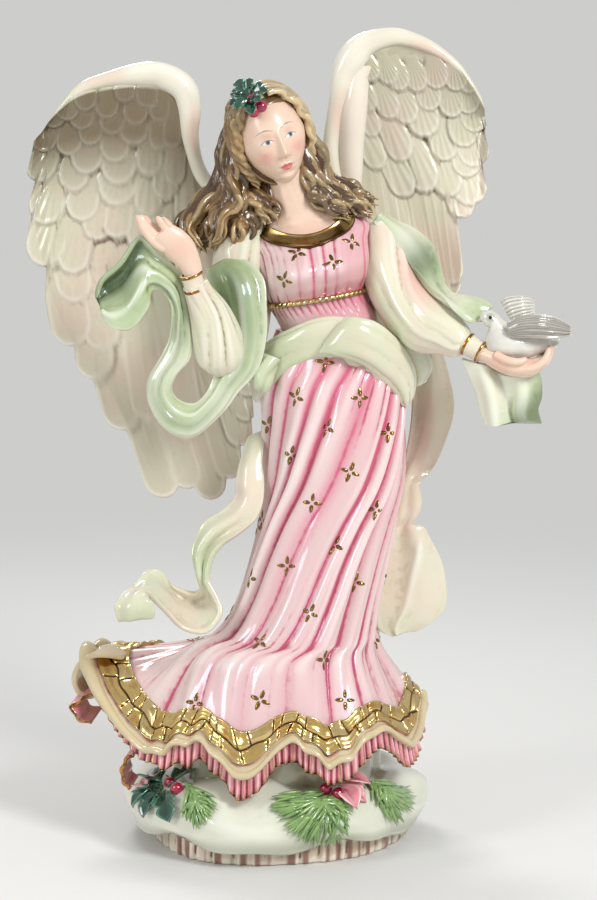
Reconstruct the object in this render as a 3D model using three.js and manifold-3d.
// A glazed ceramic angel figurine on a snow covered mound, as the separately cast pieces
// that a potter joins with slip. Millimetres, +Z up, +Y behind the figure, +X at her left hand.
import * as THREE from "three";
import { mergeVertices } from "three/addons/utils/BufferGeometryUtils.js";
import Module from "manifold-3d";

const wasm = await Module();
wasm.setup();

const turn = 2 * Math.PI;
const jointGap = 0.3; // the slip seam left between neighbouring castings
const wall = 4; // thickness of the hollow castings
const overrun = 2; // how far a cutter runs past what it cuts
const figurine = new THREE.Group();
const laid = []; // what is already in place, each with the solid that later pieces must clear

const finishes = {
  snow: { color: 0xe4e6d8, roughness: 0.2 },
  bark: { color: 0xb89a8a, roughness: 0.35 },
  pink: { color: 0xe3a3b2, roughness: 0.2 },
  blush: { color: 0xd9788f, roughness: 0.25 },
  pearl: { color: 0xe9e3cc, roughness: 0.15 },
  green: { color: 0xb4c99a, roughness: 0.18 },
  gold: { color: 0xc79a3c, roughness: 0.2, metalness: 0.9 },
  skin: { color: 0xf0cdbb, roughness: 0.4 },
  hair: { color: 0x8a6a3c, roughness: 0.3 },
  holly: { color: 0x0f4a32, roughness: 0.15 },
  pine: { color: 0x5a9140, roughness: 0.25 },
  berry: { color: 0xa01440, roughness: 0.12 },
  dove: { color: 0xe6e6e0, roughness: 0.25 },
};

// Geometry helpers

const point = (x, y, z) => new THREE.Vector3(x, y, z);

// A place in shares of a size, counted from an anchor.
const placed = (anchor, size, shares) =>
  point(...shares).multiply(size).add(anchor);

const placedAll = (anchor, size, table) =>
  table.map((shares) => placed(anchor, size, shares));

// The value of an evenly spaced table at share t: straight from one entry to the next, or
// eased between them.
function between(table, t, ease = (share) => share) {
  const at = Math.min(Math.max(t, 0), 1) * (table.length - 1);
  const low = Math.min(Math.floor(at), table.length - 2);
  return THREE.MathUtils.lerp(table[low], table[low + 1], ease(at - low));
}

const graph = (table, t) => between(table, t, (share) => THREE.MathUtils.smoothstep(share, 0, 1));

// The closed surface over rings of equally many points. Looped rings close on themselves,
// and others are capped by a fan at each end.
function skin(rings, looped = false) {
  const sides = rings[0].length;
  const points = rings.flat();
  const faces = [];
  const bands = looped ? rings.length : rings.length - 1;
  for (let i = 0; i < bands; i++) {
    const here = i * sides;
    const next = ((i + 1) % rings.length) * sides;
    for (let j = 0; j < sides; j++) {
      const k = (j + 1) % sides;
      faces.push(here + j, here + k, next + k, here + j, next + k, next + j);
    }
  }
  if (!looped) {
    for (const [ring, first] of [[rings[0], 0], [rings.at(-1), (rings.length - 1) * sides]]) {
      const centre = ring.reduce((sum, p) => sum.add(p), point(0, 0, 0)).divideScalar(sides);
      points.push(centre);
      for (let j = 0; j < sides; j++) {
        const k = (j + 1) % sides;
        if (first === 0) faces.push(points.length - 1, first + k, first + j);
        else faces.push(points.length - 1, first + j, first + k);
      }
    }
  }
  return new THREE.BufferGeometry().setFromPoints(points).setIndex(faces);
}

// A section swept along a path. ring(t, u) gives the section's [across, deep] place at the
// share t of the path and u of its round; across(t) is the way that its width lies.
function sweep({ path, steps, sides, across, ring, looped = false }) {
  const rings = [];
  for (let i = 0; i < (looped ? steps : steps + 1); i++) {
    const t = i / steps;
    const along = path.getTangentAt(t);
    const wide = across(t).clone();
    wide.addScaledVector(along, -wide.dot(along)).normalize();
    const deep = along.clone().cross(wide);
    const centre = path.getPointAt(t);
    rings.push(
      Array.from({ length: sides }, (_, j) => {
        const [a, d] = ring(t, j / sides);
        return centre.clone().addScaledVector(wide, a).addScaledVector(deep, d);
      }),
    );
  }
  return skin(rings, looped);
}

const curve = (points, closed = false) =>
  new THREE.CatmullRomCurve3(points, closed, "centripetal");

// An oval section whose half sizes follow two tables.
const oval = (halfWide, wideShares, halfDeep, deepShares) => (t, u) => [
  halfWide * graph(wideShares, t) * Math.cos(turn * u),
  halfDeep * graph(deepShares, t) * Math.sin(turn * u),
];

// A sleeve, limb or lock: an oval tube through points.
const limb = (points, steps, sides, across, section) =>
  sweep({ path: curve(points), steps, sides, across: () => across, ring: section });

// A strip of draped clay: its width direction turns through a table of directions, and it
// bows across its width.
const stripPlaceShares = [-1, -0.4, 0.4, 1, 1, 0.4, -0.4, -1]; // across the half width
const stripEdgeShare = 0.6; // of its thickness

function strip({ points, steps, width, widthShares, thickness, turns, bow }) {
  const sides = stripPlaceShares.length;
  const directions = turns.map((d) => point(...d).normalize());
  const across = (t) => {
    const at = t * (directions.length - 1);
    const low = Math.min(Math.floor(at), directions.length - 2);
    return directions[low].clone().lerp(directions[low + 1], at - low);
  };
  const ring = (t, u) => {
    const k = Math.round(u * sides);
    const place = stripPlaceShares[k];
    const thick = thickness * (Math.abs(place) === 1 ? stripEdgeShare : 1);
    const face = k < sides / 2 ? thick / 2 : -thick / 2;
    return [(place * width * graph(widthShares, t)) / 2, face + bow * place * place];
  };
  return sweep({ path: curve(points), steps, sides, across, ring });
}

// Solids

// The bare closed surface of a geometry, with its faces turned outwards.
function facesOut(geometry) {
  const plain = geometry.clone();
  plain.deleteAttribute("normal");
  plain.deleteAttribute("uv");
  const bare = mergeVertices(plain);
  const p = bare.getAttribute("position");
  const index = Array.from(bare.index.array);
  const [a, b, c] = [point(0, 0, 0), point(0, 0, 0), point(0, 0, 0)];
  let volume = 0;
  for (let i = 0; i < index.length; i += 3) {
    a.fromBufferAttribute(p, index[i]);
    b.fromBufferAttribute(p, index[i + 1]);
    c.fromBufferAttribute(p, index[i + 2]);
    volume += a.dot(b.cross(c));
  }
  if (volume < 0)
    for (let i = 0; i < index.length; i += 3)
      [index[i + 1], index[i + 2]] = [index[i + 2], index[i + 1]];
  return new THREE.BufferGeometry().setAttribute("position", p).setIndex(index);
}

function solid(geometry) {
  const g = facesOut(geometry);
  return new wasm.Manifold(
    new wasm.Mesh({
      numProp: 3,
      vertProperties: new Float32Array(g.getAttribute("position").array),
      triVerts: new Uint32Array(g.index.array),
    }),
  );
}

// The same surface moved outwards by a distance, which a neighbour is cut with. A point on
// a crease moves further, so that its faces all clear the distance.
const sharpestCrease = 0.4; // the least cosine that a crease is followed for

function grown(geometry, distance) {
  const g = facesOut(geometry);
  const p = g.getAttribute("position");
  const index = g.index.array;
  const normals = Array.from({ length: p.count }, () => point(0, 0, 0));
  const around = Array.from({ length: p.count }, () => []);
  const corner = (k) => new THREE.Vector3().fromBufferAttribute(p, index[k]);
  for (let i = 0; i < index.length; i += 3) {
    const [a, b, c] = [corner(i), corner(i + 1), corner(i + 2)];
    const face = b.clone().sub(a).cross(c.clone().sub(a)).normalize();
    const [ab, bc, ca] = [b.clone().sub(a), c.clone().sub(b), a.clone().sub(c)];
    const corners = [[ab, ca], [bc, ab], [ca, bc]];
    const angles = corners.map(([out, back]) => out.angleTo(back.clone().negate()));
    for (const k of [0, 1, 2]) {
      normals[index[i + k]].addScaledVector(face, angles[k]);
      around[index[i + k]].push(face);
    }
  }
  const moved = normals.map((normal, i) => {
    normal.normalize();
    const least = Math.min(...around[i].map((face) => face.dot(normal)));
    return new THREE.Vector3()
      .fromBufferAttribute(p, i)
      .addScaledVector(normal, distance / Math.max(least, sharpestCrease));
  });
  return new THREE.BufferGeometry().setFromPoints(moved).setIndex(g.index);
}

const largest = (body) =>
  body.decompose().reduce((best, part) => (part.volume() > best.volume() ? part : best));

function apart(boxA, boxB) {
  return [0, 1, 2].some((k) => boxA.max[k] < boxB.min[k] || boxB.max[k] < boxA.min[k]);
}

// Lays a piece. It is cut to clear every piece that is already laid, so each seam is one
// joint gap wide. clear is the geometry that later pieces keep away from.
function lay(name, finish, shape, { clear = [], cut = true } = {}) {
  let body = shape instanceof THREE.BufferGeometry ? solid(shape) : shape;
  if (cut)
    for (const other of laid)
      if (!apart(body.boundingBox(), other.boundingBox())) body = body.subtract(other);
  body = largest(body);
  const guards = clear.length ? clear : [shape];
  for (const guard of guards) laid.push(solid(grown(guard, jointGap)));
  const { vertProperties, triVerts } = body.getMesh();
  const geometry = new THREE.BufferGeometry()
    .setAttribute("position", new THREE.BufferAttribute(vertProperties, 3))
    .setIndex(new THREE.BufferAttribute(triVerts, 1));
  geometry.computeVertexNormals();
  const material = new THREE.MeshStandardMaterial({ flatShading: true, ...finishes[finish] });
  const mesh = new THREE.Mesh(geometry, material);
  mesh.name = name;
  figurine.add(mesh);
  return mesh;
}

// Base: a hollow log slice with a floor and a vent, and the snow mound that drapes over it.

const baseWidth = 150;
const baseDepth = 130;
const barkHeight = 14;
const barkRibs = 36;
const barkRibDepth = 0.9;
const barkInset = 4; // the bark stands back under the snow
const floorThickness = 4;
const ventRadius = 7;
const ventAside = 34; // from the middle of the floor to the middle of the vent
const snowHeight = 23; // from the top of the bark to the top of the mound
const snowDrape = 5; // how far the snow hangs down the bark, on average
const snowSpread = 5; // how far the snow stands out past the base outline
const snowTop = barkHeight + snowHeight;

// The outline of the base at an angle, offset outwards.
function baseOutline(angle, offset) {
  const lobes = 1 + 0.035 * Math.cos(3 * angle + 0.6) + 0.02 * Math.cos(5 * angle + 2);
  return point(
    (baseWidth / 2 + offset) * lobes * Math.cos(angle),
    -(baseDepth / 2 + offset) * lobes * Math.sin(angle),
    0,
  );
}

function baseRing(sides, offset, height) {
  return Array.from({ length: sides }, (_, j) => {
    const angle = (turn * j) / sides;
    const inward = typeof offset === "function" ? offset(angle, j) : offset;
    const level = typeof height === "function" ? height(angle) : height;
    return baseOutline(angle, inward).setZ(level);
  });
}

function layBaseLog() {
  const sides = 2 * barkRibs;
  const ribbed = (angle, j) => -barkInset - (j % 2 ? barkRibDepth : 0);
  const outside = skin([baseRing(sides, ribbed, 0), baseRing(sides, ribbed, barkHeight)]);
  const inside = -barkInset - barkRibDepth - wall;
  const cavity = skin([
    baseRing(sides / 2, inside, floorThickness),
    baseRing(sides / 2, inside, barkHeight + overrun),
  ]);
  const vent = new THREE.CylinderGeometry(ventRadius, ventRadius, floorThickness + 2 * overrun, 24);
  vent.rotateX(turn / 4).translate(ventAside, 0, floorThickness / 2);
  const body = solid(outside).subtract(solid(cavity)).subtract(solid(vent));
  lay("log_base", "bark", body, { clear: [outside] });
}

// The snow's level and spread, from its draped hem over the shoulder to the top.
const snowSpreadShares = [0.7, 1.0, 0.55, -1.4, -4.2, -8.4];
const snowLevelShares = [-0.2, 0.12, 0.42, 0.75, 0.93, 1];
const snowSides = 26;
const snowHollowSides = 14;
const snowLobeShare = 0.35; // how far the drape's lobes stand out, of the spread

function snowRing(sides, row) {
  const lobes = Math.max(0, 1 - row / 3) * snowSpread * snowLobeShare;
  return baseRing(
    sides,
    (angle) => snowSpread * snowSpreadShares[row] + lobes * Math.cos(7 * angle),
    (angle) => {
      const drape = row === 0 ? snowDrape * (0.6 * Math.cos(5 * angle + 1) - 0.4) : 0;
      return barkHeight + snowHeight * snowLevelShares[row] + drape;
    },
  );
}

function laySnow() {
  const rows = snowSpreadShares.map((_, row) => row);
  const outside = skin(rows.map((row) => snowRing(snowSides, row)));
  const rim = -barkInset - barkRibDepth - wall;
  const hollow = skin([
    baseRing(snowHollowSides, rim, barkHeight - 2 * snowDrape),
    ...rows.slice(2).map((row) => {
      const spread = Math.min(rim, snowSpread * snowSpreadShares[row] - wall);
      return baseRing(snowHollowSides, spread, barkHeight + snowHeight * snowLevelShares[row] - wall);
    }),
  ]);
  const lid = solid(outside).subtract(solid(hollow));
  lay("snow_mound", "snow", lid, { clear: [outside] });
}

// A place on the snow at an angle round the base and a share of the way to the top.
function snowPlace(angle, share) {
  const spread = snowSpread * between(snowSpreadShares, share);
  return baseOutline(angle, spread).setZ(barkHeight + snowHeight * between(snowLevelShares, share));
}

// The frame of something that lies on the snow: its middle there, +Z off the snow, and its
// length turned by a heading from the way round the base.
function onSnow(angle, share, heading) {
  const step = 0.02;
  const middle = snowPlace(angle, share);
  const round = snowPlace(angle + step, share).sub(middle);
  const up = snowPlace(angle, share + step).sub(middle);
  const normal = up.clone().cross(round).normalize();
  if (normal.z < 0) normal.negate();
  const along = round.normalize().applyAxisAngle(normal, heading);
  const across = normal.clone().cross(along);
  middle.addScaledVector(normal, -jointGap);
  return new THREE.Matrix4().makeBasis(along, across, normal).setPosition(middle);
}

// Gown skirt: a hollow trumpet from the hips to a rippled hem with a train at her right.

const gownFoot = snowTop; // the gown's heights are counted from the top of the snow
const gownHeight = 248;
const hipWidth = 76;
const hipDepth = 68;
const hipLean = 31; // how far her hips stand to her left of the base's middle
const hemWidth = 186;
const hemDepth = 128;
const hemHeight = 60;
const skirtTwist = 0.14; // turns that the folds sweep round between waist and hem
const skirtWall = 3.5;
const foldDepth = 2.6;

// The hips' rings down to the knee: height, lean, half width and half depth.
const gownRingShares = [
  [1, 1, 0.38, 0.34],
  [0.93, 1, 0.46, 0.44],
  [0.87, 1.01, 0.5, 0.49],
  [0.77, 1.06, 0.495, 0.5],
  [0.66, 1.05, 0.485, 0.515],
  [0.57, 0.93, 0.475, 0.53],
  [0.48, 0.78, 0.48, 0.56],
  [0.39, 0.6, 0.5, 0.6],
  [0.32, 0.42, 0.56, 0.65],
  [0.27, 0.13, 0.71, 0.74],
];
// The hem, from her left side round the front to her right and back: shares of the hem's
// half width, half depth and height above the snow.
const hemShares = [
  [0.86, 0.05, 0.62],
  [0.79, -0.5, 0.36],
  [0.6, -0.72, 0.58],
  [0.34, -1.0, 0.32],
  [0.09, -0.9, 0.54],
  [-0.17, -1.06, 0.22],
  [-0.43, -0.8, 0.5],
  [-0.69, -0.74, 0.36],
  [-0.95, -0.34, 0.58],
  [-1.13, 0.12, 1.02],
  [-0.95, 0.54, 1.0],
  [-0.6, 0.82, 0.56],
  [-0.22, 0.96, 0.4],
  [0.2, 0.9, 0.54],
  [0.55, 0.76, 0.36],
  [0.78, 0.42, 0.56],
];
const hemCurve = curve(
  placedAll(point(0, 0, gownFoot), point(hemWidth / 2, hemDepth / 2, hemHeight), hemShares),
  true,
);

function gownRingPoint([heightShare, leanShare, wideShare, deepShare], angle) {
  return point(
    hipLean * leanShare + hipWidth * wideShare * Math.cos(angle),
    -hipDepth * deepShare * Math.sin(angle),
    gownFoot + gownHeight * heightShare,
  );
}

// A place on the skirt at the share u round it and v down it.
function skirtPoint(u, v) {
  const stations = gownRingShares.length;
  const at = v * stations;
  const spot = (k) => {
    const share = (((u + skirtTwist * (Math.max(k, 0) / stations)) % 1) + 1) % 1;
    if (k < stations) return gownRingPoint(gownRingShares[Math.max(k, 0)], turn * share);
    return hemCurve.getPoint(share);
  };
  const low = Math.min(Math.floor(at), stations - 1);
  const path = new THREE.CatmullRomCurve3(
    [spot(low - 1), spot(low), spot(low + 1), spot(Math.min(low + 2, stations))],
    false,
    "catmullrom",
  );
  return path.getPoint((1 + at - low) / 3);
}

// The folds' relief at a place on the skirt, from -1 in a furrow to 1 on a ridge.
const foldCounts = [8, 12];
const foldPhases = [0.3, 1.9];
const foldWeights = [0.6, 0.4];

function foldRelief(u) {
  return foldCounts.reduce(
    (sum, count, i) => sum + foldWeights[i] * Math.cos(turn * count * u + foldPhases[i]),
    0,
  );
}

// A ring round the skirt, moved out from its surface by a distance, or only sideways.
function skirtRing(sides, v, out, sideways = false) {
  const axis = point(hipLean * graph(gownRingShares.map((row) => row[1]), v), 0, 0);
  return Array.from({ length: sides }, (_, j) => {
    const u = j / sides;
    const spot = skirtPoint(u, v);
    const step = 0.01;
    const round = skirtPoint(u + step, v).sub(skirtPoint(u - step, v));
    const down = skirtPoint(u, Math.min(v + step, 1)).sub(skirtPoint(u, v - step));
    const normal = down.cross(round).normalize();
    const outward = spot.clone().sub(axis).setZ(0);
    if (normal.dot(outward) < 0) normal.negate();
    if (sideways) normal.setZ(0).normalize();
    const ease = Math.min(1, 0.4 + v);
    return spot.addScaledVector(normal, out + foldDepth * ease * foldRelief(u) * 0.5);
  });
}

const skirtSides = 32;
const bandLevels = [0.95, 0.968, 0.986]; // from the gold band's top edge to its foot

function laySkirt() {
  const levels = [0.03, 0.2, 0.42, 0.64, 0.82, 0.9, ...bandLevels, 1];
  const outer = levels.map((v) => skirtRing(skirtSides, v, 0));
  const inner = levels.map((v) => skirtRing(skirtSides, v, -skirtWall)).reverse();
  lay("gown_skirt", "pink", skin([...outer, ...inner], true));
}

// Hem trim: a gold braided band in relief over the hem, on the skirt's own surface.
const bandThickness = 1.8;

function layHemBand() {
  const inner = bandLevels.map((v) => skirtRing(skirtSides, v, jointGap));
  const outer = bandLevels.map((v) => skirtRing(skirtSides, v, jointGap + bandThickness));
  lay("hem_band", "gold", skin([...inner, ...outer.reverse()], true), { cut: false });
}

// Petticoat: a pleated frill that hangs below the hem, and the hollow underskirt that
// carries the gown on the snow.
const frillDrop = 11;
const frillThickness = 2;
const frillTuck = 2.5; // how far its top reaches up behind the hem
const frillFlare = 1.5;
const frillSides = 27;

function layPetticoat() {
  const near = skirtWall / 2;
  const far = near + frillThickness;
  const hung = (inset, rise) =>
    skirtRing(frillSides, 1, -inset, true).map((p) => p.setZ(p.z + rise));
  const rings = [
    hung(near, frillTuck),
    hung(near - frillFlare, -frillDrop),
    hung(far - frillFlare, -frillDrop),
    hung(far, frillTuck),
  ];
  lay("petticoat_frill", "blush", skin(rings, true));
}

const underskirtWall = 4;
const underskirtSides = 18;
const underskirtLeanShare = 1.2; // how far it leans with the hips as it climbs
// Height above the snow, half width, half depth, in shares of the gown's and the hem's.
const underskirtShares = [
  [-0.06, 0.62, 0.74],
  [0.04, 0.6, 0.72],
  [0.2, 0.48, 0.62],
  [0.33, 0.45, 0.66],
];

function underskirtRings(inset) {
  return underskirtShares.map(([rise, wide, deep]) =>
    Array.from({ length: underskirtSides }, (_, j) => {
      const angle = (turn * j) / underskirtSides;
      return point(
        hipLean * underskirtLeanShare * Math.max(rise, 0)
          + ((hemWidth / 2) * wide - inset) * Math.cos(angle),
        -((hemDepth / 2) * deep - inset) * Math.sin(angle),
        gownFoot + gownHeight * rise,
      );
    }),
  );
}

function layUnderskirt() {
  const inside = underskirtRings(underskirtWall).reverse();
  lay("underskirt", "blush", skin([...underskirtRings(0), ...inside], true));
}

// Torso: one surface, parted by the neckline into the bodice and the bare chest and neck.

const torsoHeight = 84; // from the waist to under the jaw
const torsoWidth = 56;
const torsoDepth = 50;
const torsoLean = -21; // from over the hips to the neck
const torsoSize = point(torsoWidth, torsoDepth, torsoHeight);
const waistLevel = gownFoot + gownHeight * gownRingShares[0][0];
const waistMiddle = hipLean * gownRingShares[0][1];
const waist = point(waistMiddle, 0, waistLevel);
// Height, lean, half width, half depth and set forward.
const torsoShares = [
  [-0.06, 0, 0.46, 0.4, 0],
  [0.04, 0.1, 0.47, 0.42, 0],
  [0.18, 0.38, 0.45, 0.42, 0],
  [0.28, 0.41, 0.5, 0.5, 0.05],
  [0.38, 0.43, 0.51, 0.53, 0.08],
  [0.5, 0.5, 0.52, 0.44, 0.02],
  [0.6, 0.58, 0.56, 0.34, -0.04],
  [0.68, 0.66, 0.44, 0.28, -0.04],
  [0.74, 0.78, 0.22, 0.23, -0.02],
  [0.84, 0.9, 0.165, 0.19, 0.04],
  [1, 1.12, 0.16, 0.18, 0.12],
];
const shoulderTilt = 0.17; // her left shoulder rides higher

function torsoRings(sides, inset) {
  return torsoShares.map(([rise, lean, wide, deep, forward], i) =>
    Array.from({ length: sides }, (_, j) => {
      const angle = (turn * j) / sides;
      const x = (torsoWidth * wide - inset) * Math.cos(angle);
      return point(
        waistMiddle + torsoLean * lean + x,
        -torsoDepth * forward - (torsoDepth * deep - inset) * Math.sin(angle),
        waistLevel + torsoHeight * rise + x * shoulderTilt * Math.min(1, i / 2),
      );
    }),
  );
}

const necklineSlope = 0.62; // how fast the neckline climbs towards the back
const necklineFrontShares = [-0.195, -0.46, 0.52]; // its lowest place, from the waist
const necklineFront = placed(waist, torsoSize, necklineFrontShares);
const necklineNormal = point(-shoulderTilt, -necklineSlope, 1).normalize();

// The half space above the neckline, moved up by a distance.
function aboveNeckline(rise) {
  const side = 4 * torsoHeight;
  const block = new THREE.BoxGeometry(side, side, side);
  const turned = new THREE.Quaternion().setFromUnitVectors(point(0, 0, 1), necklineNormal);
  block.translate(0, 0, side / 2 + rise).applyQuaternion(turned);
  return solid(block.translate(...necklineFront));
}

const torsoSides = 24;
const torsoHollowSides = 12;
const torsoHollowRows = 6; // how many of the torso's rows are hollow, from the waist up

function layTorso() {
  const whole = skin(torsoRings(torsoSides, 0));
  const inside = torsoRings(torsoHollowSides, wall).slice(0, torsoHollowRows);
  const mouth = inside[0].map((p) => p.clone().setZ(p.z - overrun));
  const hollow = skin([mouth, ...inside]);
  const bodice = solid(whole).subtract(aboveNeckline(-jointGap / 2)).subtract(solid(hollow));
  const chest = solid(whole).intersect(aboveNeckline(jointGap / 2));
  lay("bodice", "pink", bodice, { clear: [whole] });
  laid.pop();
  lay("chest_and_neck", "skin", chest, { clear: [whole] });
}

// Rings worn on the torso: a cord under the bust and the gold edge of the neckline.
const cordRadius = 1.5;
const collarHeight = 6;
const collarThickness = 1.8;
const torsoTrimGap = jointGap + jointGap;

// The torso's outline where a plane that climbs to the back crosses it.
function torsoLoop(level, out, slope) {
  return Array.from({ length: torsoSides }, (_, j) => {
    const angle = (turn * j) / torsoSides;
    let share = level;
    let spot;
    for (let pass = 0; pass < 6; pass++) {
      const at = (k) => graph(torsoShares.map((row) => row[k]), rowAt(share));
      const x = (torsoWidth * at(2) + out) * Math.cos(angle);
      const y = -torsoDepth * at(4) - (torsoDepth * at(3) + out) * Math.sin(angle);
      spot = point(
        waistMiddle + torsoLean * at(1) + x,
        y,
        waistLevel + torsoHeight * share + x * shoulderTilt,
      );
      share = level + (slope * (y - necklineFront.y)) / torsoHeight;
    }
    return spot;
  });
}

// Where a height share lies in the torso's table, as a share of its rows.
function rowAt(heightShare) {
  const rows = torsoShares.length - 1;
  for (let i = 0; i < rows; i++) {
    const [low, high] = [torsoShares[i][0], torsoShares[i + 1][0]];
    if (heightShare <= high) return (i + Math.max(0, (heightShare - low) / (high - low))) / rows;
  }
  return 1;
}

const cordLevelShare = 0.18; // of the torso's height
const collarLevelShare = 0.47;

function torsoBand(level, out, slope, ring) {
  const path = curve(torsoLoop(level, out, slope), true);
  const up = () => point(0, 0, 1);
  return sweep({ path, steps: torsoSides, sides: 5, across: up, ring, looped: true });
}

function layTorsoTrim() {
  const round = oval(cordRadius, [1, 1], cordRadius, [1, 1]);
  lay("bust_cord", "gold", torsoBand(cordLevelShare, torsoTrimGap + cordRadius, 0, round));
  const flat = (t, u) => [
    (collarHeight / 2) * Math.cos(turn * u),
    (collarThickness / 2) * (1 + Math.sin(turn * u)),
  ];
  lay("neckline_collar", "gold", torsoBand(collarLevelShare, torsoTrimGap, necklineSlope, flat));
}

// Neck, head and hair. The head leans to her right and looks to her left.

const headWidth = 37;
const headDepth = 43;
const headHeight = 53;
const headSize = point(headWidth, headDepth, headHeight);
const headLean = -0.36; // radians, about the line from her face to the back of the head
const headYaw = 0.2;
const headNod = 0.1;
const headMiddleShares = [-0.26, -0.1, 0.35]; // from the top of the neck
const neckTop = point(
  waistMiddle + torsoLean * torsoShares.at(-1)[1],
  -torsoDepth * torsoShares.at(-1)[4],
  waistLevel + torsoHeight,
);
const headMiddle = placed(neckTop, headSize, headMiddleShares);
const headFrame = new THREE.Matrix4()
  .makeRotationY(headLean)
  .multiply(new THREE.Matrix4().makeRotationZ(headYaw))
  .multiply(new THREE.Matrix4().makeRotationX(headNod))
  .setPosition(headMiddle);

const inHead = (shares) => point(...shares).multiply(headSize).applyMatrix4(headFrame);

// A ball pushed out of round, seen from its middle by its unit direction.
function ball([round, high], shape) {
  const geometry = new THREE.SphereGeometry(1, round, high).rotateX(turn / 4);
  const p = geometry.getAttribute("position");
  for (let i = 0; i < p.count; i++) {
    const spot = shape(point(p.getX(i), p.getY(i), p.getZ(i)));
    p.setXYZ(i, spot.x, spot.y, spot.z);
  }
  const closed = geometry.clone();
  closed.deleteAttribute("normal");
  closed.deleteAttribute("uv");
  return mergeVertices(closed, 1e-4);
}

const skullSides = [12, 9]; // round the head, and from the chin to the crown
const hairSides = [14, 8];
const hairlineSides = [8, 6];
const jawTaperShare = 0.3;
const chinForwardShare = 0.1;

function layHead() {
  const skull = ball(skullSides, (n) => {
    const jaw = Math.max(0, -n.z) ** 1.5;
    const taper = 1 - jawTaperShare * jaw;
    return point(
      (headWidth / 2) * n.x * taper,
      (headDepth / 2) * n.y * taper - headDepth * chinForwardShare * jaw,
      (headHeight / 2) * n.z,
    ).applyMatrix4(headFrame);
  });
  lay("head", "skin", skull);
}

const hairDepth = 4.5; // how far the crown of hair stands off the skull
const faceWidth = 30;
const faceHeight = 46;
const faceMiddleShares = [0, -0.66, -0.1];
const hairWaves = 9;
const hairWaveDepth = 1.2;
const hairBackShare = 0.06; // how far the hair's middle lies behind the skull's
const hairNapeShare = 0.22; // how much shorter it is towards the nape

function layHairCrown() {
  const cap = ball(hairSides, (n) => {
    const wave = hairWaveDepth * Math.cos(hairWaves * Math.atan2(n.x, n.y));
    const low = n.z < 0 ? -n.z : 0;
    return point(
      (headWidth / 2 + hairDepth + wave) * n.x,
      (headDepth / 2 + hairDepth + wave) * n.y + headDepth * hairBackShare,
      (headHeight / 2 + hairDepth) * n.z * (1 - hairNapeShare * low),
    ).applyMatrix4(headFrame);
  });
  const face = ball(hairlineSides, (n) =>
    placed(point(0, 0, 0), headSize, faceMiddleShares)
      .add(point((faceWidth / 2) * n.x, (headDepth / 2) * n.y, (faceHeight / 2) * n.z))
      .applyMatrix4(headFrame),
  );
  lay("hair_crown", "hair", solid(cap).subtract(solid(face)), { clear: [cap] });
}

// A bunch of locks, each through its own points, in shares of the head from its middle.
const lockGirth = 14;
const lockGirthShares = [1, 1.1, 1, 0.85, 0.5];
const lockDepthShares = [0.83, 0.92, 0.83, 0.71, 0.42];
const rightLockShares = [
  [
    [-0.5, 0.3, 0.22],
    [-0.66, 0.26, -0.15],
    [-0.7, 0.28, -0.48],
    [-1.02, 0.2, -0.7],
    [-1.24, 0.1, -0.92],
    [-1.1, 0, -1.12],
  ],
  [
    [-0.42, 0.45, 0.05],
    [-0.55, 0.45, -0.3],
    [-0.66, 0.5, -0.6],
    [-0.92, 0.42, -0.88],
    [-0.98, 0.25, -1.06],
  ],
  [
    [-0.46, 0.1, 0],
    [-0.54, 0.05, -0.36],
    [-0.5, 0.02, -0.64],
    [-0.74, -0.02, -0.84],
    [-0.84, -0.06, -1.04],
  ],
];
const leftLockShares = [
  [
    [0.5, 0.2, 0.06],
    [0.7, 0.2, -0.22],
    [0.74, 0.22, -0.48],
    [1, 0.22, -0.62],
    [1.26, 0.18, -0.72],
    [1.44, 0.14, -0.82],
  ],
  [
    [0.4, 0.4, -0.06],
    [0.52, 0.44, -0.36],
    [0.7, 0.48, -0.6],
    [0.98, 0.42, -0.72],
  ],
  [
    [0.46, 0, -0.1],
    [0.58, 0.02, -0.36],
    [0.66, 0.06, -0.56],
    [0.88, 0.04, -0.72],
    [1.08, 0.02, -0.84],
  ],
];

function layHairFall(name, locks) {
  const round = oval(lockGirth / 2, lockGirthShares, lockGirth / 2, lockDepthShares);
  const tubes = locks.map((shares) =>
    limb(placedAll(headMiddle, headSize, shares), 7, 5, point(0, 1, 0), round),
  );
  const joined = tubes.map(solid).reduce((body, tube) => body.add(tube));
  lay(name, "hair", joined, { clear: tubes });
}

// Arms in loose sleeves that close at narrow cuffs: her right hand is raised, and her left
// is held out level with a dove on its fingers.

const rightShoulderShares = [-0.77, 0.08, 0.6]; // from the waist, of the torso
const leftShoulderShares = [0.34, 0.12, 0.63];
const rightShoulder = placed(waist, torsoSize, rightShoulderShares);
const leftShoulder = placed(waist, torsoSize, leftShoulderShares);
const cuffRadius = 6.2;
const cuffLength = 9;
const wristRadius = 4.6;

const upperArmOut = 20;
const upperArmForward = 30;
const upperArmDrop = 70;
const upperSleeveGirth = 30;
const rightUpperShares = [
  [0.3, 0.03, 0.05],
  [-0.07, -0.03, -0.2],
  [-0.18, -0.13, -0.52],
  [-0.34, -0.27, -0.83],
  [-0.5, -0.47, -0.99],
];
const rightElbow = placed(
  rightShoulder,
  point(upperArmOut, upperArmForward, upperArmDrop),
  rightUpperShares.at(-1),
);
const forearmOut = 24;
const forearmForward = 32;
const forearmRise = 50;
const forearmGirth = 26;
const rightForearmShares = [
  [0.2, 0.02, -0.14],
  [0.02, -0.1, 0.08],
  [-0.21, -0.4, 0.36],
  [-0.46, -0.7, 0.64],
  [-0.6, -0.82, 0.76],
];
const forearmSize = point(forearmOut, forearmForward, forearmRise);
const sleeveOut = 58;
const sleeveForward = 45;
const sleeveDrop = 66;
const leftSleeveGirth = 32;
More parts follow.
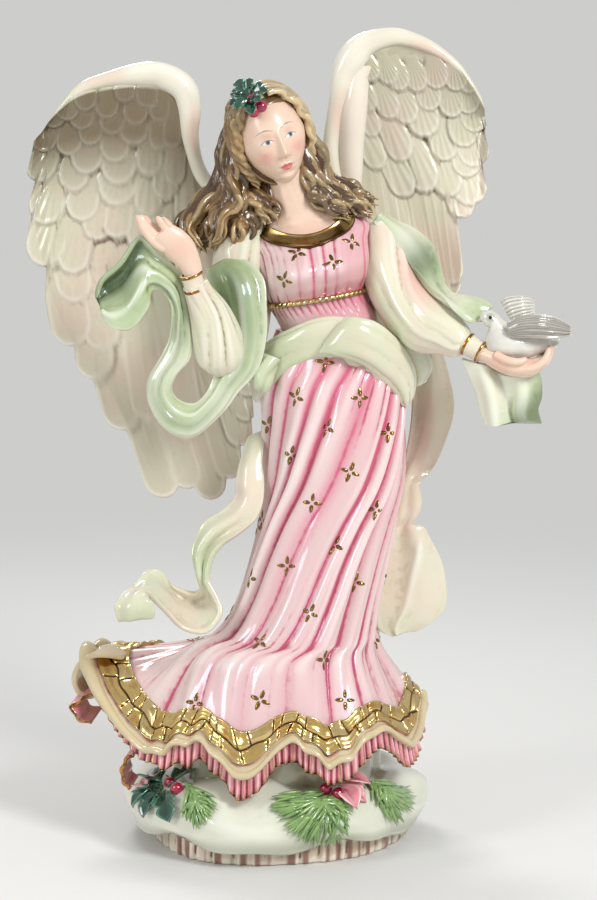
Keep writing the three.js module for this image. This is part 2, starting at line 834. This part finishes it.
const leftSleeveShares = [
  [-0.14, 0, 0.02],
  [0.1, -0.13, -0.33],
  [0.26, -0.31, -0.65],
  [0.47, -0.53, -0.79],
  [0.68, -0.76, -0.86],
  [0.84, -0.93, -0.9],
];
const sleeveSize = point(sleeveOut, sleeveForward, sleeveDrop);

function sleeve(anchor, size, shares, girth, girthShares) {
  const points = placedAll(anchor, size, shares);
  const round = oval(girth / 2, girthShares, girth / 2, girthShares);
  return limb(points, 7, 8, point(0, 1, 0), round);
}

// A cuff carries on from a sleeve's end, and the hand carries on from the cuff.
function cuffAt(anchor, size, shares) {
  const points = placedAll(anchor, size, shares);
  const end = points.at(-1);
  const along = end.clone().sub(points.at(-2)).normalize();
  return { end, along };
}

function cuff({ end, along }) {
  const start = end.clone().addScaledVector(along, -wall);
  const stop = end.clone().addScaledVector(along, cuffLength);
  const round = oval(cuffRadius, [1, 1], cuffRadius, [1, 1]);
  return limb([start, stop], 2, 10, point(0, 1, 0), round);
}

function layArms() {
  const upperSize = point(upperArmOut, upperArmForward, upperArmDrop);
  lay(
    "right_upper_sleeve",
    "pearl",
    sleeve(rightShoulder, upperSize, rightUpperShares, upperSleeveGirth, [0.75, 0.95, 1.05, 1, 0.8]),
  );
  lay(
    "right_forearm_sleeve",
    "pearl",
    sleeve(rightElbow, forearmSize, rightForearmShares, forearmGirth, [0.95, 1, 0.95, 0.72, 0.5]),
  );
  lay(
    "left_sleeve",
    "pearl",
    sleeve(leftShoulder, sleeveSize, leftSleeveShares, leftSleeveGirth, [0.75, 0.9, 1, 0.9, 0.65, 0.45]),
  );
  lay("right_cuff", "gold", cuff(rightCuffSeat));
  lay("left_cuff", "gold", cuff(leftCuffSeat));
}

const rightCuffSeat = cuffAt(rightElbow, forearmSize, rightForearmShares);
const leftCuffSeat = cuffAt(leftShoulder, sleeveSize, leftSleeveShares);

// Hands: a flat palm with four fingers and a thumb, in shares of the hand's own length,
// along it, across it and off its palm.

const handLength = 42;
const palmWidth = 14.3;
const palmThickness = 8;
const fingerThickness = 4.6;

function handTubes(seat, lean, across, fingers) {
  const along = lean.clone().normalize();
  const wide = across.clone().addScaledVector(along, -across.dot(along)).normalize();
  const off = along.clone().cross(wide);
  const wrist = seat.end.clone().addScaledVector(seat.along, cuffLength - overrun);
  const spot = ([a, w, o]) =>
    wrist
      .clone()
      .addScaledVector(along, handLength * a)
      .addScaledVector(wide, handLength * w)
      .addScaledVector(off, handLength * o);
  const palm = limb(
    [[0, 0, 0], [0.2, 0, 0], [0.42, 0, 0], [0.56, 0, 0]].map(spot),
    3,
    6,
    wide,
    oval(palmWidth / 2, [0.62, 0.85, 1, 0.85], palmThickness / 2, [1.1, 1, 0.8, 0.6]),
  );
  const digits = fingers.map((shares) =>
    limb(
      shares.map(spot),
      3,
      5,
      wide,
      oval(fingerThickness / 2, [1, 1, 0.95, 0.6], fingerThickness / 2, [1, 1, 0.95, 0.6]),
    ),
  );
  return [palm, ...digits];
}

const raisedFingers = [
  [[0.42, -0.12, 0], [0.62, -0.13, 0.01], [0.82, -0.13, 0.03], [0.98, -0.1, 0.05]],
  [[0.44, -0.04, 0], [0.64, -0.04, 0.01], [0.86, -0.04, 0.03], [1.03, -0.02, 0.05]],
  [[0.42, 0.04, 0], [0.62, 0.05, 0.01], [0.84, 0.05, 0.03], [0.99, 0.06, 0.05]],
  [[0.4, 0.12, 0], [0.58, 0.13, 0.01], [0.74, 0.14, 0.03], [0.87, 0.14, 0.05]],
  [[0.12, -0.08, 0.06], [0.3, -0.2, 0.12], [0.46, -0.26, 0.14], [0.58, -0.28, 0.14]],
];
const heldFingers = [
  [[0.42, -0.12, 0], [0.62, -0.13, 0.04], [0.82, -0.14, 0.16], [0.94, -0.13, 0.34]],
  [[0.44, -0.04, 0], [0.64, -0.04, 0.04], [0.86, -0.04, 0.17], [0.99, -0.03, 0.37]],
  [[0.42, 0.04, 0], [0.62, 0.05, 0.04], [0.84, 0.05, 0.16], [0.96, 0.06, 0.34]],
  [[0.4, 0.12, 0], [0.58, 0.13, 0.04], [0.74, 0.14, 0.14], [0.86, 0.14, 0.3]],
  [[0.12, -0.08, 0.04], [0.3, -0.22, 0.1], [0.44, -0.28, 0.18], [0.54, -0.3, 0.28]],
];
const raisedHandLean = point(-0.62, -0.08, 0.78);
const heldHandLean = point(0.94, -0.24, -0.24);
const raisedHandAcross = point(0.5, -0.75, 0.4);
const heldHandAcross = point(0.1, -0.9, -0.25);

function layHand(name, seat, lean, across, fingers) {
  const tubes = handTubes(seat, lean, across, fingers);
  const joined = tubes.map(solid).reduce((body, tube) => body.add(tube));
  lay(name, "skin", joined, { clear: tubes });
}

// The dove, perched on her fingers and looking at her.

const doveLength = 46;
const doveGirth = 17;
const dovePerchShares = [0.38, -0.14, 0.17]; // from the cuff's end, of her hand's length
const doveMiddle = placed(
  leftCuffSeat.end.clone().addScaledVector(leftCuffSeat.along, cuffLength),
  point(handLength, handLength, handLength),
  dovePerchShares,
);
const doveShares = [
  [-0.38, 0.06, 0.34],
  [-0.32, 0.04, 0.3],
  [-0.22, 0, 0.2],
  [-0.08, 0, 0.02],
  [0.1, 0, -0.06],
  [0.3, 0.02, -0.02],
  [0.52, 0.06, 0.06],
  [0.72, 0.1, 0.12],
];
const doveGirthShares = [0.34, 0.6, 0.58, 0.86, 1, 0.9, 0.55, 0.34];
const dovePlace = (shares) => point(...shares).multiplyScalar(doveLength).add(doveMiddle);
const wingSpan = 30;
const doveWingThickness = 2.6;
const doveWingBow = 1;
const nearWingShares = [
  [-0.02, -0.2, 0.1],
  [0.2, -0.26, 0.18],
  [0.5, -0.2, 0.22],
  [0.86, -0.12, 0.2],
];
const farWingShares = [
  [0.02, 0.14, 0.06],
  [0.06, 0.2, 0.26],
  [0.12, 0.24, 0.44],
  [0.2, 0.26, 0.54],
];
const nearWingTurns = [
  [0, -0.2, 1],
  [0, -0.5, 1],
];
const farWingTurns = [
  [1, 0.2, 0],
  [1, 0.3, -0.2],
];

function layDove() {
  const round = oval(doveGirth / 2, doveGirthShares, doveGirth / 2, doveGirthShares);
  lay("dove_body", "dove", limb(doveShares.map(dovePlace), 10, 8, point(0, 1, 0), round));
  const wing = { steps: 8, width: wingSpan / 2, thickness: doveWingThickness };
  lay(
    "dove_wing_near",
    "dove",
    strip({
      ...wing,
      points: nearWingShares.map(dovePlace),
      widthShares: [0.7, 1, 0.85, 0.3],
      turns: nearWingTurns,
      bow: -doveWingBow,
    }),
  );
  lay(
    "dove_wing_far",
    "dove",
    strip({
      ...wing,
      points: farWingShares.map(dovePlace),
      widthShares: [0.8, 1.1, 1.2, 0.5],
      turns: farWingTurns,
      bow: doveWingBow,
    }),
  );
}

// Waist sash: a soft roll that dips at both hips, with a ribbon tail at each side.

const sashHeight = 21;
const sashThickness = 8;
// Share round her hips, and the middle's height over the hips' low edge, in shares.
const sashRound = [0, 0.12, 0.25, 0.38, 0.5, 0.62, 0.75, 0.88];
const sashLevelShares = [0.88, 0.94, 0.98, 0.95, 0.88, 0.88, 0.91, 0.88];
const sashStandoff = 2;

function sashPoint(share, levelShare) {
  const down = (1 - levelShare) / (1 - gownRingShares[2][0]);
  const wide = THREE.MathUtils.lerp(gownRingShares[0][2], gownRingShares[2][2], down);
  const deep = THREE.MathUtils.lerp(gownRingShares[0][3], gownRingShares[2][3], down);
  return point(
    hipLean + (hipWidth * wide + sashStandoff) * Math.cos(turn * share),
    -(hipDepth * deep + sashStandoff) * Math.sin(turn * share),
    gownFoot + gownHeight * levelShare,
  );
}

const ribbonThickness = 3.2;
const rightTailOut = 80;
const rightTailForward = 24;
const rightTailDrop = 110;
const rightTailWidth = 20;
const leftTailOut = 40;
const leftTailBack = 20;
const leftTailDrop = 150;
const leftTailWidth = 26;
const drapeBow = 1; // how far the strips are dished across their width
const rightTailSize = point(rightTailOut, rightTailForward, rightTailDrop);
const leftTailSize = point(leftTailOut, leftTailBack, leftTailDrop);
const rightTailWidthShares = [0.5, 0.75, 1, 0.85, 0.8, 0.8, 0.75, 0.8, 1, 1.15, 1.25, 1.3];
const leftTailWidthShares = [0.6, 0.9, 1, 0.9, 0.8, 0.5, 0.42, 0.9, 1.3, 1.4];
const rightTailTurns = [
  [1, 0.4, 0],
  [1, -0.2, 0.1],
  [0.8, -0.4, 0.4],
  [0.9, 0.5, 0.2],
  [0.2, 0.9, 0.5],
  [0, 0.9, 0.6],
  [0.2, 0.8, 0.6],
];
const leftTailTurns = [
  [0.2, 1, 0],
  [0.5, 1, 0.2],
  [0.6, 1, 0],
  [0.8, 0.6, 0.2],
  [1, -0.3, 0.2],
  [1, -0.1, 0],
];
const rightTailShares = [
  [0.06, 0.1, 0.12],
  [-0.07, -0.04, -0.09],
  [-0.11, -0.25, -0.24],
  [-0.2, -0.42, -0.39],
  [-0.36, -0.5, -0.48],
  [-0.43, -0.58, -0.58],
  [-0.39, -0.62, -0.71],
  [-0.36, -0.67, -0.82],
  [-0.44, -0.75, -0.88],
  [-0.6, -0.83, -0.86],
  [-0.78, -0.79, -0.78],
  [-0.94, -0.92, -0.82],
];
const leftTailShares = [
  [-0.3, -0.2, 0.02],
  [0, 0.1, 0],
  [0.16, 0.2, -0.12],
  [0.14, 0.15, -0.25],
  [0, 0.05, -0.38],
  [-0.14, -0.1, -0.47],
  [-0.2, -0.25, -0.58],
  [-0.06, -0.3, -0.72],
  [-0.02, -0.35, -0.84],
  [-0.08, -0.4, -0.95],
];
const gownSize = point(hipWidth, hipDepth, gownHeight);
const hips = point(hipLean, 0, gownFoot);
const rightHipShares = [-0.5, -0.1, 0.76]; // from the foot of the gown under the hips
const leftHipShares = [0.6, 0.2, 0.9];
const rightHip = placed(hips, gownSize, rightHipShares);
const leftHip = placed(hips, gownSize, leftHipShares);

function layWaistSash() {
  const path = curve(sashRound.map((share, i) => sashPoint(share, sashLevelShares[i])), true);
  const ring = oval(sashHeight / 2, [1, 1], sashThickness / 2, [1, 1]);
  const across = () => point(0, 0, 1);
  lay("waist_sash", "pearl", sweep({ path, steps: 18, sides: 6, across, ring, looped: true }));
}

function laySashTails() {
  const ribbon = { steps: 18, thickness: ribbonThickness, bow: drapeBow };
  lay(
    "sash_tail_right",
    "pearl",
    strip({
      ...ribbon,
      points: placedAll(rightHip, rightTailSize, rightTailShares),
      width: rightTailWidth,
      widthShares: rightTailWidthShares,
      turns: rightTailTurns,
    }),
  );
  lay(
    "sash_tail_left",
    "pearl",
    strip({
      ...ribbon,
      points: placedAll(leftHip, leftTailSize, leftTailShares),
      width: leftTailWidth,
      widthShares: leftTailWidthShares,
      turns: leftTailTurns,
    }),
  );
}

// The shawl: one length winds round her right arm and loops beside it, and the other goes
// down her left arm and ends in a flap under the hand.

const shawlWidth = 23;
const shawlThickness = 4;
const rightShawlOut = 90;
const rightShawlForward = 60;
const rightShawlDrop = 105;
const rightShawlShares = [
  [-0.24, 0.2, -0.16],
  [-0.12, 0.02, -0.12],
  [-0.02, -0.17, -0.2],
  [0.02, -0.3, -0.42],
  [-0.02, -0.42, -0.65],
  [-0.15, -0.5, -0.81],
  [-0.31, -0.57, -0.92],
  [-0.46, -0.6, -0.89],
  [-0.54, -0.62, -0.77],
  [-0.51, -0.63, -0.64],
  [-0.45, -0.67, -0.5],
  [-0.46, -0.7, -0.36],
  [-0.53, -0.73, -0.27],
  [-0.63, -0.77, -0.25],
  [-0.74, -0.8, -0.3],
  [-0.8, -0.83, -0.4],
];
const leftShawlOut = 60;
const leftShawlBack = 40;
const leftShawlDrop = 60;
const leftShawlShares = [
  [0.01, 0.32, 0.08],
  [0.24, 0.36, 0.02],
  [0.5, 0.36, -0.12],
  [0.66, 0.2, -0.36],
  [0.72, -0.1, -0.56],
  [0.82, -0.4, -0.66],
  [0.96, -0.62, -0.66],
];
const flapWidth = 36;
const flapDrop = 42;
const rightShawlSize = point(rightShawlOut, rightShawlForward, rightShawlDrop);
const leftShawlSize = point(leftShawlOut, leftShawlBack, leftShawlDrop);
const rightShawlWidthShares = [
  0.7, 0.9, 1, 1, 1, 0.95, 0.9, 0.85, 0.75, 0.65, 0.6, 0.6, 0.8, 1, 1.1, 0.9,
];
const leftShawlWidthShares = [0.8, 1, 1, 1, 0.9, 0.7, 0.5];
const rightShawlTurns = [
  [0.6, 0.2, -0.6],
  [0.9, 0.3, -0.4],
  [1, 0.5, 0.1],
  [0.7, 0.3, 0.7],
  [0.2, -0.4, 0.9],
  [-0.5, -0.4, 0.6],
  [-1, -0.3, 0],
  [-1, -0.2, 0.2],
  [-0.6, -0.3, 0.8],
  [0.2, -0.3, 1],
  [0.6, -0.3, 0.8],
];
const leftShawlTurns = [
  [0.1, 0.6, 0.8],
  [0.6, 0.3, 0.7],
  [0.6, 0.4, 0.6],
  [0, 0.5, 0.9],
];
const flapTurns = [
  [1, 0, 0],
  [1, 0.2, 0],
];
const flapShares = [
  [0.5, 0, -0.08],
  [0.54, 0, -0.36],
  [0.62, -0.1, -0.7],
  [0.68, 0.05, -1],
];

function layShawl() {
  const cloth = { width: shawlWidth, thickness: shawlThickness, bow: drapeBow };
  lay(
    "shawl_right",
    "green",
    strip({
      ...cloth,
      steps: 24,
      points: placedAll(rightShoulder, rightShawlSize, rightShawlShares),
      widthShares: rightShawlWidthShares,
      turns: rightShawlTurns,
    }),
  );
  lay(
    "shawl_left",
    "green",
    strip({
      ...cloth,
      steps: 16,
      points: placedAll(leftShoulder, leftShawlSize, leftShawlShares),
      widthShares: leftShawlWidthShares,
      turns: leftShawlTurns,
    }),
  );
  lay(
    "shawl_left_flap",
    "green",
    strip({
      ...cloth,
      width: flapWidth,
      steps: 8,
      points: placedAll(leftCuffSeat.end, point(handLength, shawlThickness, flapDrop), flapShares),
      widthShares: [1, 1, 0.9, 0.85],
      turns: flapTurns,
    }),
  );
}

// Wings: cupped plates of overlapping feathers that fan out from a rolled leading edge.

const wingThickness = 7;
const wingRollRadius = 6.5;
const wingRollShares = [0.9, 1, 1.1, 1, 0.45];
const wingRollEnd = 0.86; // where along the leading edge the roll runs out
const wingCup = 8.5; // how deep the face is dished
const rightWingWidth = 118;
const rightWingHeight = 240;
const leftWingWidth = 96;
const leftWingHeight = 150;
const wingBack = 34; // how far the shoulders of the wings stand behind the waist
const rightWingRootShares = [-0.9, 0, 0.72]; // from the waist, of the torso
const leftWingRootShares = [-0.08, 0, 0.68];
const rightWingRoot = placed(waist, torsoSize, rightWingRootShares).setY(wingBack);
const leftWingRoot = placed(waist, torsoSize, leftWingRootShares).setY(wingBack);
const rightSeatShares = [0.27, -0.56, -0.02]; // where the wing meets her back
const leftSeatShares = [-0.06, -0.56, -0.02];
// The leading edge from the shoulder over the top to the outer end: across, back and up.
const rightEdgeShares = [
  [0.16, 0, 0],
  [-0.06, 0.06, 0.04],
  [-0.14, 0.1, 0.12],
  [-0.17, 0.08, 0.2],
  [-0.22, 0, 0.29],
  [-0.42, -0.08, 0.33],
  [-0.64, -0.12, 0.3],
  [-0.84, -0.14, 0.22],
  [-0.94, -0.16, 0.12],
];
const rightTipShares = [
  [0.18, 0.04, -0.44],
  [0.12, 0.04, -0.56],
  [-0.04, 0.02, -0.66],
  [-0.3, 0, -0.67],
  [-0.46, -0.02, -0.5],
  [-0.62, -0.04, -0.31],
  [-0.78, -0.06, -0.22],
  [-0.94, -0.1, -0.12],
  [-0.98, -0.14, 0.02],
];
const leftEdgeShares = [
  [-0.14, 0, -0.04],
  [-0.02, 0.06, 0.16],
  [0, 0.1, 0.34],
  [0.04, 0.08, 0.5],
  [0.16, 0, 0.62],
  [0.38, -0.06, 0.66],
  [0.58, -0.1, 0.62],
  [0.78, -0.12, 0.52],
  [0.92, -0.14, 0.4],
];
const leftTipShares = [
  [0.16, 0.04, -0.34],
  [0.3, 0.04, -0.38],
  [0.46, 0.02, -0.4],
  [0.62, 0, -0.38],
  [0.76, -0.02, -0.3],
  [0.82, -0.04, -0.14],
  [0.9, -0.06, 0.04],
  [0.98, -0.08, 0.2],
  [0.97, -0.12, 0.32],
];
const featherCount = 9;
const featherReach = 5; // how far the feather tips stand past the valleys between them
const featherSteps = 3;
const wingRollSteps = 19;
const wingRollSides = 6;
// Stations along a feather from the leading edge, and the plate's thickness at each.
const wingStationShares = [0, 0.36, 0.42, 0.7, 0.76, 1];
const wingPlateShares = [1, 0.9, 0.6, 0.8, 0.5, 0.35];

function wingSolids({ root, size, seatShares, edgeShares, tipShares }) {
  const edge = curve(placedAll(root, size, edgeShares));
  const tips = curve(placedAll(root, size, tipShares));
  const steps = featherCount * featherSteps;
  const forward = point(0, -1, 0);
  const rings = Array.from({ length: steps + 1 }, (_, i) => {
    const s = i / steps;
    const start = edge.getPoint(s);
    const tip = tips.getPoint(s);
    const swell = Math.abs(Math.sin((turn / 2) * featherCount * s));
    const down = tip.clone().sub(start).normalize();
    tip.addScaledVector(down, featherReach * (swell - 1));
    const spots = wingStationShares.map((share) =>
      start
        .clone()
        .lerp(tip, share)
        .addScaledVector(forward, -wingCup * Math.sin((turn / 2) * share)),
    );
    const swollen = (wingThickness / 2) * (0.75 + 0.25 * swell);
    const half = wingPlateShares.map((share) => swollen * share);
    const front = spots.map((spot, k) => spot.clone().addScaledVector(forward, half[k]));
    const back = spots.map((spot, k) => spot.clone().addScaledVector(forward, -half[k]));
    return [...front, ...back.reverse()];
  });
  const along = Array.from({ length: wingRollSteps }, (_, i) =>
    edge.getPoint((wingRollEnd * i) / (wingRollSteps - 1)),
  );
  const roll = sweep({
    path: curve([placed(root, size, seatShares), ...along]),
    steps: wingRollSteps,
    sides: wingRollSides,
    across: () => point(0, 1, 0),
    ring: oval(wingRollRadius, wingRollShares, wingRollRadius, wingRollShares),
  });
  return [skin(rings), roll];
}

const rightWing = {
  root: rightWingRoot,
  size: point(rightWingWidth, wingBack, rightWingHeight),
  seatShares: rightSeatShares,
  edgeShares: rightEdgeShares,
  tipShares: rightTipShares,
};
const leftWing = {
  root: leftWingRoot,
  size: point(leftWingWidth, wingBack, leftWingHeight),
  seatShares: leftSeatShares,
  edgeShares: leftEdgeShares,
  tipShares: leftTipShares,
};

function layWing(name, plan) {
  const parts = wingSolids(plan);
  lay(name, "pearl", solid(parts[0]).add(solid(parts[1])), { clear: parts });
}

// Greenery: holly leaves, berries, petals and sprigs of pine.

const leafThickness = 2.2;
const hollyShares = [
  [0, 0.1],
  [0.12, 0.5],
  [0.2, 1],
  [0.32, 0.56],
  [0.44, 0.72],
  [0.52, 1.1],
  [0.62, 0.55],
  [0.74, 0.5],
  [0.8, 0.8],
  [0.9, 0.25],
  [1, 0],
];
const petalShares = [
  [0, 0.15],
  [0.2, 0.7],
  [0.45, 1],
  [0.7, 0.8],
  [0.9, 0.4],
  [1, 0],
];

// A flat leaf along X, as thick as a leaf, that starts at a place on X.
function leaf(length, halfWidth, outlineShares, start = 0) {
  const side = outlineShares.map(([a, w]) => [a * length, w * halfWidth]);
  const other = side.slice(1, -1).reverse().map(([a, w]) => [a, -w]);
  const shape = new THREE.Shape([...side, ...other].map(([a, w]) => new THREE.Vector2(a, w)));
  const plate = new THREE.ExtrudeGeometry(shape, { depth: leafThickness, bevelEnabled: false });
  return plate.translate(start, 0, 0);
}

const berryRadius = 3.4;
const berrySides = [8, 6];
const pineNeedleLength = 12;
const pineNeedleRadius = 1.2;
const sprigLength = 34;
const sprigRadius = 1.8;
const needleCount = 6;

const berry = () =>
  ball(berrySides, (n) => n.multiplyScalar(berryRadius).add(point(0, 0, berryRadius - jointGap)));

const taperShares = [1, 0.4];

function taper(from, to, radius) {
  const side = to.clone().sub(from).cross(point(0, 0, 1));
  return limb([from, to], 1, 4, side, oval(radius, taperShares, radius, taperShares));
}

function sprig() {
  const root = point(-sprigLength / 2, 0, sprigRadius);
  const stem = taper(root, root.clone().add(point(sprigLength, 0, 0)), sprigRadius);
  const needles = Array.from({ length: needleCount }, (_, i) => {
    const start = root.clone().add(point((sprigLength * (i + 0.5)) / needleCount, 0, 0));
    const side = i % 2 ? 1 : -1;
    const lift = 0.1 + 0.15 * (i % 3);
    const way = point(0.75, side * 0.7, lift).normalize();
    return taper(start, start.clone().addScaledVector(way, pineNeedleLength), pineNeedleRadius);
  });
  return [stem, ...needles];
}

const crownLeafLength = 15;
const crownLeafWidth = 5;
const baseLeafLength = 24;
const baseLeafWidth = 7;
const petalLength = 17;
const petalWidth = 5.5;

const crownMiddleShares = [-0.185, -0.4, 0.43];
const crownLeafHeadings = [0.5, 2.4, 4.4];
const crownBerrySpotShares = [
  [-0.22, -0.5, 0.32],
  [-0.1, -0.52, 0.34],
  [-0.17, -0.47, 0.42],
];
// Angle round the base in turns, share of the way up the snow, and heading in turns.
const baseLeafSpots = [
  [0.375, 0.5, 0.05],
  [0.36, 0.42, 0.6],
  [0.33, 0.46, 0.1],
];
const baseBerrySpots = [
  [0.385, 0.62],
  [0.37, 0.66],
  [0.2, 0.6],
  [0.175, 0.56],
];
const baseSprigSpots = [
  [0.33, 0.36, 0.56],
  [0.22, 0.3, 0.52],
  [0.13, 0.4, 0.05],
];
const basePetalSpots = [
  [0.165, 0.5, 0.1],
  [0.15, 0.58, 0.7],
  [0.435, 0.5, 0.3],
];

function layGreenery() {
  baseLeafSpots.forEach(([angle, share, heading], i) => {
    const frame = onSnow(turn * angle, share, turn * heading);
    const plate = leaf(baseLeafLength, baseLeafWidth, hollyShares, -baseLeafLength / 2);
    lay("base_holly_leaf_" + (i + 1), "holly", plate.applyMatrix4(frame));
  });
  baseSprigSpots.forEach(([angle, share, heading], i) => {
    const frame = onSnow(turn * angle, share, turn * heading);
    const tubes = sprig().map((tube) => tube.applyMatrix4(frame));
    const joined = tubes.map(solid).reduce((body, tube) => body.add(tube));
    lay("base_pine_sprig_" + (i + 1), "pine", joined, { clear: tubes });
  });
  basePetalSpots.forEach(([angle, share, heading], i) => {
    const frame = onSnow(turn * angle, share, turn * heading);
    const plate = leaf(petalLength, petalWidth, petalShares, -petalLength / 2);
    lay("base_petal_" + (i + 1), "blush", plate.applyMatrix4(frame));
  });
  baseBerrySpots.forEach(([angle, share], i) => {
    const frame = onSnow(turn * angle, share, 0);
    lay("base_berry_" + (i + 1), "berry", berry().applyMatrix4(frame));
  });
}

function layCrownHolly() {
  crownBerrySpotShares.forEach((shares, i) => {
    const middle = inHead(shares);
    const round = ball(berrySides, (n) => n.multiplyScalar(berryRadius).add(middle));
    lay("crown_berry_" + (i + 1), "berry", round);
  });
  crownLeafHeadings.forEach((heading, i) => {
    const frame = headFrame
      .clone()
      .multiply(new THREE.Matrix4().makeRotationX(0.9))
      .multiply(new THREE.Matrix4().makeRotationZ(heading))
      .setPosition(inHead(crownMiddleShares));
    const plate = leaf(crownLeafLength, crownLeafWidth, hollyShares);
    lay("crown_holly_leaf_" + (i + 1), "holly", plate.applyMatrix4(frame));
  });
}

layBaseLog();
laySnow();
laySkirt();
layHemBand();
layPetticoat();
layUnderskirt();
layTorso();
layTorsoTrim();
layHead();
layHairCrown();
layHairFall("hair_fall_right", rightLockShares);
layHairFall("hair_fall_left", leftLockShares);
layArms();
layWaistSash();
laySashTails();
layHand("right_hand", rightCuffSeat, raisedHandLean, raisedHandAcross, raisedFingers);
layHand("left_hand", leftCuffSeat, heldHandLean, heldHandAcross, heldFingers);
layDove();
layShawl();
layWing("wing_right", rightWing);
layWing("wing_left", leftWing);
layCrownHolly();
layGreenery();

export default figurine;
